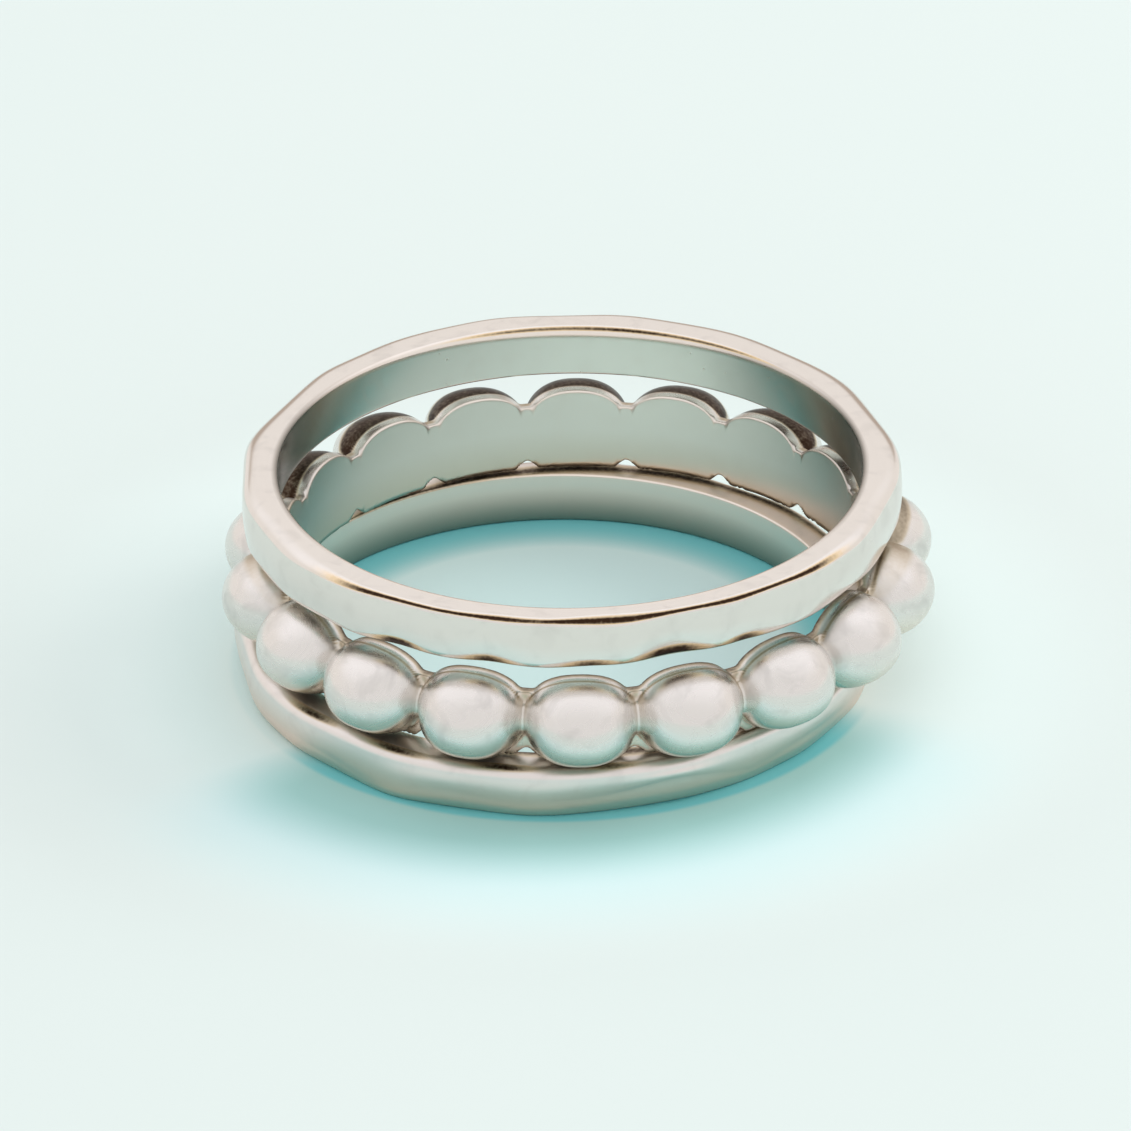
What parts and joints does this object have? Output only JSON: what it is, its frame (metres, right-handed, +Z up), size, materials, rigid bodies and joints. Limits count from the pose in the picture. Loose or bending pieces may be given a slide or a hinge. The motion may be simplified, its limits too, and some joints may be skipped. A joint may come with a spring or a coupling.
{
  "type": "stackable ring",
  "caption": "Silver-tone stackable finger ring: a beaded band between two plain hammered bands, lying flat as a stack.",
  "frame": {"origin": "centre of the stack's footprint, under the beaded band's axis, on the surface that the stack rests on", "axes": "+Z up along the bands' axes, +X to the right and +Y away from the viewer of the reference picture"},
  "size_m": [0.0212, 0.0214, 0.0063],
  "materials": {
    "polished_silver": "bright polished silver plate with fine hairline scratches and soft hammered flats",
    "bead_silver": "bright cast silver plate, lightly pitted and scuffed, a little tarnish in the valleys between the beads",
    "satin_silver": "softly worn silver plate, satin in places, with shallow hammered flats"
  },
  "bodies": {
    "root": {"lower_hammered_band": "satin_silver", "beaded_band": "bead_silver", "upper_hammered_band": "polished_silver"}
  },
  "joints": []
}
